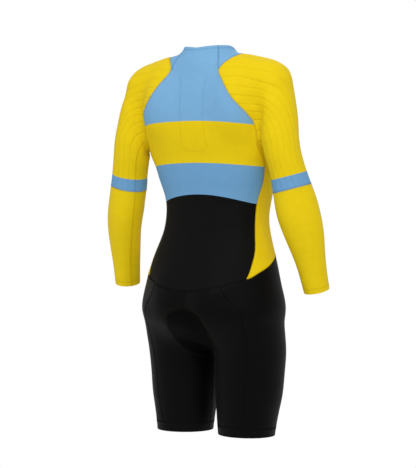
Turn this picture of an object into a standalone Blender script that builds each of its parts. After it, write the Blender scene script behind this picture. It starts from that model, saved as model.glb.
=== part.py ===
"""Long-sleeved cycling skinsuit in its worn form, standing hollow with nobody in it.

The front faces -Y, the wearer's left is +X and +Z is up. The origin lies in the middle of
the neck's base, level with the shoulders, where a wearer's shoulders carry the suit. The
tables below are in millimetres, and the meshes are made in metres.
"""
import math
from types import SimpleNamespace

import bmesh
import bpy
import numpy as np
from mathutils import Matrix, Vector

MM = 0.001

# Cloth thickness, and the gap left between two pieces along a seam
WALL = 1.5
SEAM_GAP = 0.3

# Heights of the hems, of the cuffs and of the rings round the sleeves
HEM_Z = -888.0
BAND_TOP = HEM_Z + 20.0
CUFF_Z = -539.0
ELBOW_Z = -300.0
BICEPS_Z = -229.0

# Ribs of the upper sleeves, each rib parted from the next by a groove
BACK_RIBS = 8
FRONT_RIBS = 7
GROOVE_WIDTH = 2.2
GROOVE_DEPTH = 0.55
RIB_BEND = 0.72

# Seat pad, thickest in its middle
PAD_EDGE_DROP = 0.5
PAD_EDGE = 2.0
PAD_MIDDLE = 7.0

# Front zip, its slider and the slider's pull tab
ZIP_EDGE = 3.15
SLIDER_BELOW_RIM = 17.0
SLIDER_PLATE = (8.0, 11.0, 1.6)
SLIDER_TAPER = 0.8
SLIDER_BEVEL = 0.4
ARCH_WIDTH = 2.2
ARCH_SPAN = 6.6
ARCH_BAR = 0.9
ARCH_OPENING = 2.4
ARCH_SINK = 0.4
ARCH_CHAMFER = 0.63
PULL_WIDTH = 6.0
PULL_LENGTH = 19.0
PULL_THICKNESS = 1.0
PULL_BAR = 1.2
PULL_SIDE_BAR = 1.3
PULL_WINDOW = 5.4

# Trunk sections: height, half width, front, back, squareness
TRUNK = [
    (60, 55, -24, 87, 2.2),
    (28, 57, -26, 88, 2.2),
    (0, 67, -42, 99, 2.2),
    (-25, 90, -60, 105, 2.3),
    (-60, 146, -78, 115, 2.4),
    (-100, 166, -95, 120, 2.4),
    (-150, 174, -108, 120, 2.4),
    (-190, 173, -112, 112, 2.4),
    (-230, 163, -110, 100, 2.4),
    (-271, 150, -106, 92, 2.4),
    (-338, 130, -102, 80, 2.4),
    (-378, 127, -100, 88, 2.4),
    (-407, 133, -101, 94, 2.3),
    (-450, 147, -106, 113, 2.2),
    (-500, 163, -112, 134, 2.1),
    (-540, 171, -115, 141, 2.1),
    (-575, 173, -115, 140, 2.1),
]
SEAT_DROP = 62.0

# Fork between the legs, and each side of the seat: centre and radii
FORK = ((0, 20, -600), (60, 130, 72))
SEAT = ((46, 62, -572), (72, 92, 88))

# Shoulder line sections: distance from the middle, centre y, centre z, depth, height
YOKE = [
    (0, 36, -22, 60, 44),
    (60, 36, -27, 59, 44),
    (100, 36, -32, 56, 44),
    (145, 36, -42, 50, 44),
    (170, 36, -53, 46, 42),
]
YOKE_END = 26.0

# Shoulder muscle and shoulder blade: centre and radii
SHOULDER = ((168, 36, -66), (47, 51, 54))
BLADE = ((95, 75, -105), (50, 50, 75))

# Arm sections: height, centre x, centre y, radius x, radius y, turn of the section
ARM = [
    (-60, 178, 37, 38, 47, 0),
    (-100, 188, 43, 41, 50, 0),
    (-140, 196, 48, 42, 48, 0),
    (-187, 202, 54, 43, 46, -6),
    (-230, 209, 50, 43, 45, -14),
    (-271, 219, 42, 44, 43, -22),
    (-330, 232, 34, 50, 43, -30),
    (-365, 239, 31, 51, 42, -30),
    (-400, 246, 25, 48, 39, -28),
    (-430, 250, 17, 43, 37, -24),
    (-480, 256, 2, 35, 34, -12),
    (-536, 262, -13, 31, 31, 0),
    (-580, 267, -25, 29, 29, 0),
    (-640, 275, -42, 28, 28, 0),
]
ARM_TOP = 42.0

# Leg sections: height, centre x, centre y, radius x, radius y
LEG = [
    (-600, 88, 12, 85, 108),
    (-640, 89, 5, 86, 101),
    (-690, 90, -5, 85, 94),
    (-740, 89, -7, 82, 90),
    (-800, 88, -5, 78, 84),
    (-840, 86, -2, 73, 77),
    (-889, 85, 1, 67, 71),
    (-940, 85, 1, 62, 66),
]
LEG_TOP = 80.0

# How widely neighbouring forms run into each other
YOKE_BLEND = 30.0
BLADE_BLEND = 34.0
SHOULDER_BLEND = 12.0
SEAT_BLEND = 36.0
ARMPIT_BLEND = 22.0
FORK_BLEND = 24.0
THIGH_BLEND = 10.0
HIP_BLEND = 32.0

# Neckline height at each angle from the middle of the back
RIM = [(0, 28), (48, 33), (90, 33), (135, 20), (180, 6)]
NECK_CENTRE_Y = 26.0
NECK_REACH = 58.0
SHOULDER_SEAM_ANGLE = 47.0

# Corners where three or four pieces meet, on the wearer's left
TIP = (64, 106, -22)
UNDERARM_BACK = (150, 70, -195)
UNDERARM_FRONT = (150, -10, -195)
WAIST_BACK = (134, 92, -511)
SEAT_CORNER = (87, 133, -527)
SEAT_MIDDLE = (0, 152, -540)
WAIST_FRONT = (124, -66, -450)
WAIST_MIDDLE = (0, -101, -445)
PAD_TOP = (0, 152, -576)
PAD_CORNER = (44, 160, -588)
INSEAM_TOP = (7, 0, -705)
PAD_FRONT_CORNER = (32, -86, -640)
PAD_FRONT = (0, -106, -600)

# Points that each seam passes between its corners
RAGLAN_BACK = [(78, 117, -45), (113, 128, -92), (152, 93, -146)]
RAGLAN_FRONT = [
    (85, 75, 2),
    (105, 35, 10),
    (118, 0, -5),
    (132, -45, -55),
    (146, -62, -110),
    (152, -45, -160),
]
UNDERARM = [(157, 48, -218), (163, 33, -225), (169, 18, -213)]
SIDE_BACK = [(152, 28, -250), (129, 26, -336), (126, 33, -395), (136, 56, -456)]
SIDE_FRONT = [(145, -50, -260), (128, -60, -336), (122, -62, -395)]
SIDE_BOTTOM = [(148, 69, -501), (157, 42, -490), (157, 5, -476), (140, -34, -462)]
LEG_BACK = [
    (100, 130, -555),
    (121, 114, -580),
    (133, 95, -643),
    (127, 78, -683),
    (122, 75, -742),
    (118, 72, -800),
]
LEG_FRONT = [(130, -80, -560), (128, -85, -683), (120, -78, -800)]
INSEAM = [(14, 0, -790)]
PAD_BACK = [(59, 152, -616), (61, 141, -636), (55, 122, -656), (45, 80, -685), (25, 40, -700)]
PAD_BOW = [(24, 158, -578)]
PAD_FORE = [(10, -30, -700), (22, -62, -675)]
PAD_FRONT_BOW = [(18, -100, -612)]
SEAT_LINE = [(45, 150, -536)]
WAIST_LINE = [(65, -95, -447)]
FRONT_START_Y = -35.0

# Angles round a leg of the points on its hem, from the outer side to the back
INSEAM_ANGLE = 180.0
LEG_BACK_ANGLE = 71.0
LEG_FRONT_ANGLE = -70.0
BACK_ANGLES = np.linspace(INSEAM_ANGLE, LEG_BACK_ANGLE, 7)
SIDE_ANGLES = np.linspace(LEG_BACK_ANGLE, LEG_FRONT_ANGLE, 9)
FRONT_ANGLES = np.linspace(LEG_FRONT_ANGLE, -INSEAM_ANGLE, 7)

# Angle round an arm at which each corner's rib comes down, from the outer side to the back
SLEEVE_SEAM_ANGLE = 140.0
TIP_ANGLE = -25.0
FRONT_ARM_ANGLE = -169.0

# Rows and columns of the panels' grids
SHOULDER_ROWS = 6
SIDE_ROWS = 12
SIDE_EASE = 1.25
NECK_COLUMNS = 8
RIM_COLUMNS = 7
ZIP_ROWS = FRONT_RIBS + SIDE_ROWS - RIM_COLUMNS
WAIST_COLUMNS = 6
SIDE_COLUMNS = 6
CORNER_COLUMNS = 2
SEAT_MIDDLE_ROWS = 2
PAD_BOW_COLUMNS = 2
PAD_BACK_ROWS = 6
PAD_FORE_ROWS = 4
FRONT_MIDDLE_ROWS = 4
INSEAM_ROWS = 6
LEG_ROWS = SEAT_MIDDLE_ROWS + PAD_BOW_COLUMNS + PAD_BACK_ROWS + INSEAM_ROWS
SLEEVE_BEND_ROWS = 10
SLEEVE_ARM_ROWS = 2
FOREARM_ROWS = 8
RELAX_ROUNDS = 24

# How points are laid on the form: rounds, longest moves and the least slope trusted
SETTLE_ROUNDS = 9
LONGEST_MOVE = 18.0
RING_MOVE = 10.0
LEAST_SLOPE = 0.05
LEVEL = (1, 1, 0)
FRONT_ONLY = (0, 1, 0)

# Points taken along each stretch of a seam, along a rib and along the zip
SEAM_SAMPLES = 24
RIB_SAMPLES = 60
ZIP_SAMPLES = 120

# Height over which a limb's direction is read, and the weights that rank two rim points
RING_REACH = 20.0
RIM_WEIGHTS = (0.11, 0.37, 1.0)

# Power of a round section, and the cap length of a tube that has no end
ROUND = 2.0
NO_END = 1e6

# Colours as linear values
YELLOW = (0.72, 0.56, 0.015)
PALE_BLUE = (0.18, 0.37, 0.62)
BLACK = (0.012, 0.012, 0.013)
PAD_BLACK = (0.02, 0.02, 0.022)
METAL = (0.10, 0.10, 0.11)


def clear_scene():
    """Leave an empty scene to model in."""
    for obj in list(bpy.data.objects):
        bpy.data.objects.remove(obj, do_unlink=True)


# Form of the worn suit


def smooth_columns(table):
    """A function that reads a table's later columns on a smooth curve through its rows."""
    rows = np.array(sorted(table), float)
    knots, values = rows[:, 0], rows[:, 1:]
    slopes = np.gradient(values, knots, axis=0)

    def read(key):
        key = np.clip(key, knots[0], knots[-1])
        low = np.clip(np.searchsorted(knots, key) - 1, 0, len(knots) - 2)
        span = (knots[low + 1] - knots[low])[:, None]
        t = (key - knots[low])[:, None] / span
        start = (1 + 2 * t) * (1 - t) ** 2 * values[low]
        start_slope = t * (1 - t) ** 2 * span * slopes[low]
        end = t * t * (3 - 2 * t) * values[low + 1]
        end_slope = t * t * (t - 1) * span * slopes[low + 1]
        return start + start_slope + end + end_slope

    return read


def depth_of(parts, radii, power):
    """Distance to a rounded form, from offsets along its axes and its radii there."""
    ratio = np.abs(parts) / radii
    total = (ratio ** power[:, None]).sum(axis=1)
    reach = np.maximum(total ** (1 / power), 1e-6)
    lean = (ratio / reach[:, None]) ** (power[:, None] - 1) / radii
    return (reach - 1) / np.linalg.norm(lean, axis=1)


def tube(axis, table, low_cap=NO_END, high_cap=NO_END):
    """Distance function of a tube along an axis, its ends rounded over the cap lengths."""
    read = smooth_columns(table)
    across = [i for i in range(3) if i != axis]
    low, high = min(table)[0], max(table)[0]

    def distance(p):
        section = read(p[:, axis])
        turn = np.radians(section[:, 4])
        first, second = (p[:, across] - section[:, :2]).T
        past_low = np.maximum(low - p[:, axis], 0)
        past_high = np.maximum(p[:, axis] - high, 0)
        parts = np.column_stack([
            first * np.cos(turn) + second * np.sin(turn),
            second * np.cos(turn) - first * np.sin(turn),
            past_low + past_high,
        ])
        cap = np.where(past_low > 0, low_cap, high_cap)
        return depth_of(parts, np.column_stack([section[:, 2:4], cap]), section[:, 5])

    return distance


def ellipsoid(centre, radii):
    """Distance function of an ellipsoid."""

    def distance(p):
        count = len(p)
        return depth_of(p - np.array(centre, float), np.full((count, 3), radii), np.full(count, 2.0))

    return distance


def blend(a, b, width):
    """The nearer of two distances, rounded where they are alike."""
    near = np.maximum(width - np.abs(a - b), 0) / width
    return np.minimum(a, b) - near * near * width / 4


TRUNK_SECTIONS = [
    (z, 0, (front + back) / 2, half, (back - front) / 2, 0, square)
    for z, half, front, back, square in TRUNK
]
TRUNK_TUBE = tube(2, TRUNK_SECTIONS, low_cap=SEAT_DROP)
FORK_BALL = ellipsoid(*FORK)
SEAT_BALL = ellipsoid(*SEAT)
YOKE_TUBE = tube(0, [(*row, 0, ROUND) for row in YOKE], high_cap=YOKE_END)
SHOULDER_BALL = ellipsoid(*SHOULDER)
BLADE_BALL = ellipsoid(*BLADE)
ARM_TUBE = tube(2, [(*row, ROUND) for row in ARM], high_cap=ARM_TOP)
LEG_TUBE = tube(2, [(*row, 0, ROUND) for row in LEG], high_cap=LEG_TOP)
FLIP = np.array([-1.0, 1.0, 1.0])


def form_distance(p):
    """Signed distance to the suit's outer face, negative inside."""
    half = np.column_stack([np.abs(p[:, 0]), p[:, 1:]])
    trunk = blend(TRUNK_TUBE(half), FORK_BALL(half), FORK_BLEND)
    trunk = blend(trunk, YOKE_TUBE(half), YOKE_BLEND)
    trunk = blend(trunk, BLADE_BALL(half), BLADE_BLEND)
    trunk = blend(trunk, SEAT_BALL(half), SEAT_BLEND)
    arm = blend(ARM_TUBE(half), SHOULDER_BALL(half), SHOULDER_BLEND)
    legs = blend(LEG_TUBE(half), LEG_TUBE(half * FLIP), THIGH_BLEND)
    return blend(blend(trunk, arm, ARMPIT_BLEND), legs, HIP_BLEND)


def form_slope(p, reach=0.4):
    """Gradient of the distance, which points out of the suit."""
    slope = np.empty_like(p)
    for axis in range(3):
        shift = np.zeros(3)
        shift[axis] = reach
        slope[:, axis] = (form_distance(p + shift) - form_distance(p - shift)) / (2 * reach)
    return slope


def settle(points, free=(1, 1, 1)):
    """Points moved onto the suit's outer face, along the free axes only."""
    shape = np.shape(points)
    p = np.array(points, float).reshape(-1, 3)
    for _ in range(SETTLE_ROUNDS):
        slope = form_slope(p) * np.array(free, float)
        step = form_distance(p) / np.maximum((slope ** 2).sum(axis=1), LEAST_SLOPE)
        p = p - slope * np.clip(step, -LONGEST_MOVE, LONGEST_MOVE)[:, None]
    return p.reshape(shape)


def outward(points):
    """Unit normals of the form at points on it."""
    shape = np.shape(points)
    slope = form_slope(np.array(points, float).reshape(-1, 3))
    return (slope / np.linalg.norm(slope, axis=1)[:, None]).reshape(shape)


# Seam lines


def unit(vector):
    """A vector's direction."""
    return vector / np.linalg.norm(vector)


def along(points, count, ease=1.0):
    """Points along a polyline, its ends kept, closer at its start where ease is above 1."""
    points = np.array(points, float)
    steps = np.linalg.norm(np.diff(points, axis=0), axis=1)
    run = np.concatenate([[0], np.cumsum(steps)])
    marks = run[-1] * np.linspace(0, 1, count + 1) ** ease
    return np.column_stack([np.interp(marks, run, points[:, i]) for i in range(3)])


def seam(start, between, end, count, ease=1.0):
    """A seam's points: a smooth curve through its own points, laid on the form."""
    stops = np.array([start, *between, end], float)
    steps = np.sqrt(np.linalg.norm(np.diff(stops, axis=0), axis=1))
    keys = np.concatenate([[0], np.cumsum(steps)])
    read = smooth_columns(np.column_stack([keys, stops]).tolist())
    fine = settle(read(np.linspace(0, keys[-1], SEAM_SAMPLES * (len(stops) - 1) + 1)))
    fine[0], fine[-1] = start, end
    line = settle(along(fine, count, ease))
    line[0], line[-1] = start, end
    return line


def chain(*lines):
    """Seams joined end to end."""
    joined = lines[0]
    for line in lines[1:]:
        joined = np.concatenate([joined, line[1:]])
    return joined


def mirrored(points):
    """The same points on the wearer's other side."""
    return points * FLIP


def rim_line(start, end, count):
    """Neckline points between two angles from the middle of the back."""
    angles = np.linspace(start, end, 8 * count + 1)
    turn = np.radians(angles)
    across = NECK_REACH * np.sin(turn)
    back = NECK_CENTRE_Y + NECK_REACH * np.cos(turn)
    height = smooth_columns(RIM)(angles)[:, 0]
    ring = settle(np.column_stack([across, back, height]), LEVEL)
    return settle(along(ring, count), LEVEL)


def limb_ring(table, height, angles):
    """Points round a limb in a plane square to it, at angles from its outer side."""
    heights = np.array([height - RING_REACH, height, height + RING_REACH])
    section = smooth_columns(table)(heights)
    centre = np.array([section[1, 0], section[1, 1], height])
    axis = unit(np.array([*(section[2, :2] - section[0, :2]), 2 * RING_REACH]))
    side = unit(np.array([1.0, 0, 0]) - axis * axis[0])
    back = np.cross(axis, side)
    turn = np.radians(angles)
    ring = centre + section[1, 2] * np.outer(np.cos(turn), side)
    ring = ring + section[1, 3] * np.outer(np.sin(turn), back)
    for _ in range(SETTLE_ROUNDS):
        slope = form_slope(ring)
        slope = slope - np.outer(slope @ axis, axis)
        step = form_distance(ring) / np.maximum((slope ** 2).sum(axis=1), LEAST_SLOPE)
        ring = ring - slope * np.clip(step, -RING_MOVE, RING_MOVE)[:, None]
    return ring


# Panel grids


def patch(top, bottom, left, right):
    """A grid of points between four seams, evened out and laid on the form."""
    rows, columns = len(left) - 1, len(top) - 1
    v = np.linspace(0, 1, rows + 1)[:, None, None]
    u = np.linspace(0, 1, columns + 1)[None, :, None]
    corners = (1 - u) * (1 - v) * top[0] + u * (1 - v) * top[-1]
    corners = corners + (1 - u) * v * bottom[0] + u * v * bottom[-1]
    grid = (1 - v) * top[None] + v * bottom[None]
    grid = grid + (1 - u) * left[:, None] + u * right[:, None] - corners
    grid[0], grid[-1], grid[:, 0], grid[:, -1] = top, bottom, left, right
    grid[1:-1, 1:-1] = settle(grid[1:-1, 1:-1])
    for _ in range(RELAX_ROUNDS):
        around = grid[:-2, 1:-1] + grid[2:, 1:-1] + grid[1:-1, :-2] + grid[1:-1, 2:]
        grid[1:-1, 1:-1] = settle(around / 4)
    return grid


def edge_loop(rows, columns):
    """Indices round a grid's edge, in order."""
    loop = [(0, c) for c in range(columns)]
    loop += [(r, columns) for r in range(rows)]
    loop += [(rows, c) for c in range(columns, 0, -1)]
    loop += [(r, 0) for r in range(rows, 0, -1)]
    return loop


def inset(grid, normal, width):
    """The grid with its edges drawn in by a width, mitred at every bend."""
    rows, columns = grid.shape[0] - 1, grid.shape[1] - 1
    loop = edge_loop(rows, columns)
    drawn = grid.copy()
    probe = (0, columns // 2)
    tangent = grid[0, columns // 2 + 1] - grid[probe]
    inward = np.cross(normal[probe], tangent)
    sign = 1.0 if inward @ (grid[1, columns // 2] - grid[probe]) > 0 else -1.0
    for k, here in enumerate(loop):
        before, after = loop[k - 1], loop[(k + 1) % len(loop)]
        first = sign * unit(np.cross(normal[here], grid[here] - grid[before]))
        second = sign * unit(np.cross(normal[here], grid[after] - grid[here]))
        drawn[here] = grid[here] + width * (first + second) / (1 + first @ second)
    return drawn


# Solids


def cloth(name, colour, roughness=0.62, metallic=0.0):
    """A plain material in a piece's own colour."""
    material = bpy.data.materials.new(name)
    material.use_nodes = True
    shader = material.node_tree.nodes["Principled BSDF"]
    shader.inputs["Base Color"].default_value = (*colour, 1.0)
    shader.inputs["Roughness"].default_value = roughness
    shader.inputs["Metallic"].default_value = metallic
    material.diffuse_color = (*colour, 1.0)
    return material


def add_object(name, bm, material, smooth_angle=35.0):
    """Turn a bmesh into a named object with outward faces."""
    bmesh.ops.recalc_face_normals(bm, faces=bm.faces[:])
    mesh = bpy.data.meshes.new(name)
    bm.to_mesh(mesh)
    bm.free()
    mesh.materials.append(material)
    mesh.shade_smooth()
    mesh.set_sharp_from_angle(angle=math.radians(smooth_angle))
    obj = bpy.data.objects.new(name, mesh)
    bpy.context.collection.objects.link(obj)
    return obj


def wall_mesh(outer, inner, split=False):
    """A closed wall between two grids of points, as a bmesh in metres."""
    rows, columns = outer.shape[0] - 1, outer.shape[1] - 1
    bm = bmesh.new()
    bmesh.ops.create_grid(bm, x_segments=columns, y_segments=rows, size=1.0)
    place = bm.verts.layers.int.new("place")
    deep = bm.verts.layers.int.new("deep")
    for k, vert in enumerate(bm.verts):
        vert[place] = k
        vert.co = Vector(outer.reshape(-1, 3)[k]) * MM
    if split:
        split_cells(bm, place, columns)
    grown = bmesh.ops.extrude_face_region(bm, geom=bm.faces[:])["geom"]
    for vert in [item for item in grown if isinstance(item, bmesh.types.BMVert)]:
        vert[deep] = 1
        vert.co = Vector(inner.reshape(-1, 3)[vert[place]]) * MM
    return bm


def split_cells(bm, place, columns):
    """Cut each cell of a grid along the diagonal from its first corner."""
    for face in bm.faces[:]:
        corners = sorted(face.verts, key=lambda vert: vert[place])
        bmesh.utils.face_split(face, corners[0], corners[3])


def split_rim(bm):
    """Cut each face on the wall's edge the way that the neighbouring panel is cut."""
    deep = bm.verts.layers.int["deep"]
    for face in bm.faces[:]:
        inner = [vert for vert in face.verts if vert[deep]]
        if len(inner) != 2 or len(face.verts) < 4:
            continue
        low, high = sorted(inner, key=rim_order)
        start = next(
            edge.other_vert(high) for edge in high.link_edges
            if edge in face.edges and edge.other_vert(high) is not low
        )
        bmesh.utils.face_split(face, start, low)


def rim_order(vert):
    """A rank that neighbours give alike to the two ends of an edge that they share."""
    return Vector((abs(vert.co.x), vert.co.y, vert.co.z)).dot(RIM_WEIGHTS)


def panel(name, grid, colour, grooves=(), split=False):
    """One cloth panel as a wall on the form, half a seam gap inside its seam lines."""
    normal = outward(grid)
    outer = inset(grid, normal, SEAM_GAP / 2)
    inner = outer - WALL * normal
    lips = []
    if len(grooves):
        outer, inner, lips = pressed_grooves(outer, inner, grooves)
    bm = wall_mesh(outer, inner, split)
    join_inner_columns(bm, lips, outer.shape[1])
    split_rim(bm)
    bmesh.ops.triangulate(bm, faces=bm.faces[:], quad_method="SHORT_EDGE")
    return add_object(name, bm, cloth(name, colour))


def pressed_grooves(outer, inner, grooves):
    """The two grids with a narrow groove in the outer one along each of some columns."""
    outer_columns, inner_columns, lips = [], [], []
    for c in range(outer.shape[1]):
        here, deep = outer[:, c], inner[:, c]
        if c not in grooves:
            outer_columns.append(here)
            inner_columns.append(deep)
            continue
        sides = []
        for other in (c - 1, c + 1):
            reach = np.linalg.norm(outer[:, other] - here, axis=1)
            share = (GROOVE_WIDTH / 2 / reach)[:, None]
            sides.append((
                here + share * (outer[:, other] - here),
                deep + share * (inner[:, other] - deep),
            ))
        floor = here + (deep - here) * GROOVE_DEPTH / WALL
        lips += [len(outer_columns), len(outer_columns) + 2]
        outer_columns += [sides[0][0], floor, sides[1][0]]
        inner_columns += [sides[0][1], deep, sides[1][1]]
    return np.stack(outer_columns, axis=1), np.stack(inner_columns, axis=1), lips


def join_inner_columns(bm, lips, width):
    """Join the inner face's narrow columns to the wide ones beside them."""
    place, deep = bm.verts.layers.int["place"], bm.verts.layers.int["deep"]
    narrow = set(lips)
    edges = [
        edge for edge in bm.edges
        if all(vert[place] % width in narrow for vert in edge.verts)
        and any(vert[deep] for vert in edge.verts)
        and edge.verts[0][place] % width == edge.verts[1][place] % width
    ]
    bmesh.ops.dissolve_edges(bm, edges=edges, use_verts=True)


def both_sides(name, grid, colour, grooves=()):
    """The panel on the wearer's left and its mirror on the right."""
    panel(name + "_left", grid, colour, grooves)
    last = grid.shape[1] - 1
    turned = mirrored(grid)[:, ::-1]
    panel(name + "_right", turned, colour, [last - c for c in grooves])


# Seam network on the wearer's left


def corner_points():
    """Where three or four pieces meet, laid on the form."""
    names = {
        "tip": TIP,
        "underarm_back": UNDERARM_BACK,
        "underarm_front": UNDERARM_FRONT,
        "waist_back": WAIST_BACK,
        "seat_corner": SEAT_CORNER,
        "seat_middle": SEAT_MIDDLE,
        "waist_front": WAIST_FRONT,
        "waist_middle": WAIST_MIDDLE,
        "pad_top": PAD_TOP,
        "pad_corner": PAD_CORNER,
        "inseam_top": INSEAM_TOP,
        "pad_front_corner": PAD_FRONT_CORNER,
        "pad_front": PAD_FRONT,
    }
    laid = settle(list(names.values()))
    return SimpleNamespace(**dict(zip(names, laid)))


def seam_network():
    """Every seam line on the wearer's left, with the points that both its pieces share."""
    at = corner_points()
    s = SimpleNamespace()
    s.rim_back = rim_line(0, SHOULDER_SEAM_ANGLE, NECK_COLUMNS)
    s.zip_top = settle([ZIP_EDGE, FRONT_START_Y, RIM[-1][1]], FRONT_ONLY)
    zip_angle = 180 - math.degrees(ZIP_EDGE / NECK_REACH)
    s.rim_front = rim_line(SHOULDER_SEAM_ANGLE, zip_angle, RIM_COLUMNS)
    s.rim_front[0], s.rim_front[-1] = s.rim_back[-1], s.zip_top
    s.shoulder = seam(s.rim_back[-1], [], at.tip, SHOULDER_ROWS)
    s.raglan_back = seam(at.tip, RAGLAN_BACK, at.underarm_back, BACK_RIBS)
    s.raglan_front = seam(at.tip, RAGLAN_FRONT, at.underarm_front, FRONT_RIBS)
    s.underarm = seam(at.underarm_back, UNDERARM, at.underarm_front, SIDE_COLUMNS)
    s.side_back = seam(at.underarm_back, SIDE_BACK, at.waist_back, SIDE_ROWS, SIDE_EASE)
    s.side_front = seam(
        at.underarm_front, SIDE_FRONT, at.waist_front, SIDE_ROWS, SIDE_EASE
    )
    s.side_bottom = seam(at.waist_back, SIDE_BOTTOM, at.waist_front, SIDE_COLUMNS)
    s.corner_bottom = seam(at.waist_back, [], at.seat_corner, CORNER_COLUMNS)
    s.seat_bottom = seam(at.seat_corner, SEAT_LINE, at.seat_middle, WAIST_COLUMNS)
    s.waist = seam(at.waist_front, WAIST_LINE, at.waist_middle, WAIST_COLUMNS)
    last, middle = s.waist[-2], s.waist[-1]
    zip_foot = middle + (last - middle) * ZIP_EDGE / last[0]
    s.zip_edge = zip_line(s.zip_top, zip_foot)
    s.seat_middle = seam(at.seat_middle, [], at.pad_top, SEAT_MIDDLE_ROWS)
    s.pad_bow = seam(at.pad_top, PAD_BOW, at.pad_corner, PAD_BOW_COLUMNS)
    s.pad_back = seam(at.pad_corner, PAD_BACK, at.inseam_top, PAD_BACK_ROWS)
    s.pad_fore = seam(at.inseam_top, PAD_FORE, at.pad_front_corner, PAD_FORE_ROWS)
    s.pad_front_bow = seam(at.pad_front_corner, PAD_FRONT_BOW, at.pad_front, PAD_BOW_COLUMNS)
    s.front_middle = seam(at.waist_middle, [], at.pad_front, FRONT_MIDDLE_ROWS)
    s.inseam = seam(at.inseam_top, INSEAM, leg_ring(BAND_TOP, [INSEAM_ANGLE])[0], INSEAM_ROWS)
    s.cuff_back = leg_ring(BAND_TOP, BACK_ANGLES)
    s.cuff_side = leg_ring(BAND_TOP, SIDE_ANGLES)
    s.cuff_front = leg_ring(BAND_TOP, FRONT_ANGLES)
    s.leg_back = seam(at.seat_corner, LEG_BACK, s.cuff_back[-1], LEG_ROWS)
    s.leg_front = seam(at.waist_front, LEG_FRONT, s.cuff_front[0], LEG_ROWS)
    return s


def zip_line(top, foot):
    """The zip's edge from the neckline to the waist seam, at one distance from the middle."""
    fine = np.linspace(top, foot, ZIP_SAMPLES)
    fine[1:-1] = settle(fine[1:-1], FRONT_ONLY)
    line = along(fine, ZIP_ROWS)
    line[1:-1] = settle(line[1:-1], FRONT_ONLY)
    return line


def leg_ring(height, angles):
    """Points round a leg at a height."""
    return limb_ring(LEG, height, np.array(angles, float))


# Panels


def build_back(s):
    """Back panel, one piece from the neckline to the seat."""
    side = chain(s.shoulder, s.raglan_back, s.side_back)
    bottom = chain(s.corner_bottom, s.seat_bottom)
    top = chain(mirrored(s.rim_back)[::-1], s.rim_back)
    bottom = chain(mirrored(bottom), bottom[::-1])
    panel("back_panel", patch(top, bottom, mirrored(side), side), PALE_BLUE)


def build_fronts(s):
    """Fronts that wrap over the shoulders to the seams behind them."""
    inner = chain(s.rim_front, s.zip_edge)
    outer = chain(s.raglan_front, s.side_front)
    bottom = s.waist[::-1].copy()
    bottom[0] = s.zip_edge[-1]
    both_sides("front", patch(s.shoulder, bottom, inner, outer), PALE_BLUE)


def build_sides(s):
    """Side panels from the underarm down to the leg's side panel."""
    grid = patch(s.underarm, s.side_bottom, s.side_back, s.side_front)
    both_sides("side_panel", grid, YELLOW)


def build_shorts(s):
    """Back, side and front of each leg, and the saddle panel between the legs."""
    inner_back = chain(s.seat_middle, s.pad_bow, s.pad_back, s.inseam)
    back = patch(s.seat_bottom, s.cuff_back[::-1], s.leg_back, inner_back)
    both_sides("short_back", back, BLACK)
    side_top = chain(s.corner_bottom[::-1], s.side_bottom)
    side = patch(side_top, s.cuff_side, s.leg_back, s.leg_front)
    both_sides("short_side", side, BLACK)
    inner_front = chain(s.front_middle, s.pad_front_bow[::-1], s.pad_fore[::-1], s.inseam)
    front = patch(s.waist, s.cuff_front, s.leg_front, inner_front)
    both_sides("short_front", front, BLACK)


def saddle_grid(s):
    """Grid of the saddle panel, from the seat over the fork to the front."""
    side = chain(s.pad_back, s.pad_fore)
    top = chain(mirrored(s.pad_bow)[::-1], s.pad_bow)
    bottom = chain(mirrored(s.pad_front_bow), s.pad_front_bow[::-1])
    return patch(top, bottom, mirrored(side), side)


def build_pad(grid):
    """Seat pad behind the saddle panel, on that panel's own points and as large."""
    normal = outward(grid)
    depth = np.full(grid.shape[:2], WALL + SEAM_GAP)
    thickness = np.full(grid.shape[:2], PAD_MIDDLE)
    for edge in edge_loop(grid.shape[0] - 1, grid.shape[1] - 1):
        depth[edge] += PAD_EDGE_DROP
        thickness[edge] = PAD_EDGE
    face = inset(grid, normal, SEAM_GAP / 2) - depth[:, :, None] * normal
    bm = wall_mesh(face, face - thickness[:, :, None] * normal, split=True)
    add_object("chamois_pad", bm, cloth("chamois_pad", PAD_BLACK, roughness=0.85))


def build_bands(s):
    """Leg bands sewn below the leg panels."""
    top = chain(s.cuff_back, s.cuff_side, s.cuff_front)
    angles = np.concatenate([BACK_ANGLES, SIDE_ANGLES[1:], FRONT_ANGLES[1:]])
    both_sides("leg_band", np.stack([top, leg_ring(HEM_Z, angles)]), BLACK)


# Sleeves


def sleeve_angles():
    """Angle round the arm of each column, from the sleeve seam round the back."""
    back = np.linspace(SLEEVE_SEAM_ANGLE, TIP_ANGLE, BACK_RIBS + 1)
    front = np.linspace(TIP_ANGLE, FRONT_ARM_ANGLE, FRONT_RIBS + 1)
    under = np.linspace(FRONT_ARM_ANGLE, SLEEVE_SEAM_ANGLE - 360, SIDE_COLUMNS + 1)
    return np.concatenate([back, front[1:], under[1:]])


def bent_line(start, end, count):
    """A rib's course from the raglan seam outward and then down to the arm's ring."""
    corner = np.array([end[0], end[1], start[2]])
    first = start + RIB_BEND * (corner - start)
    second = end + RIB_BEND * (corner - end)
    t = np.linspace(0, 1, RIB_SAMPLES)[:, None]
    course = (1 - t) ** 3 * start + 3 * t * (1 - t) ** 2 * first
    course = course + 3 * t * t * (1 - t) * second + t ** 3 * end
    laid = settle(course)
    laid[0], laid[-1] = start, end
    line = settle(along(laid, count))
    line[0], line[-1] = start, end
    return line


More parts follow.
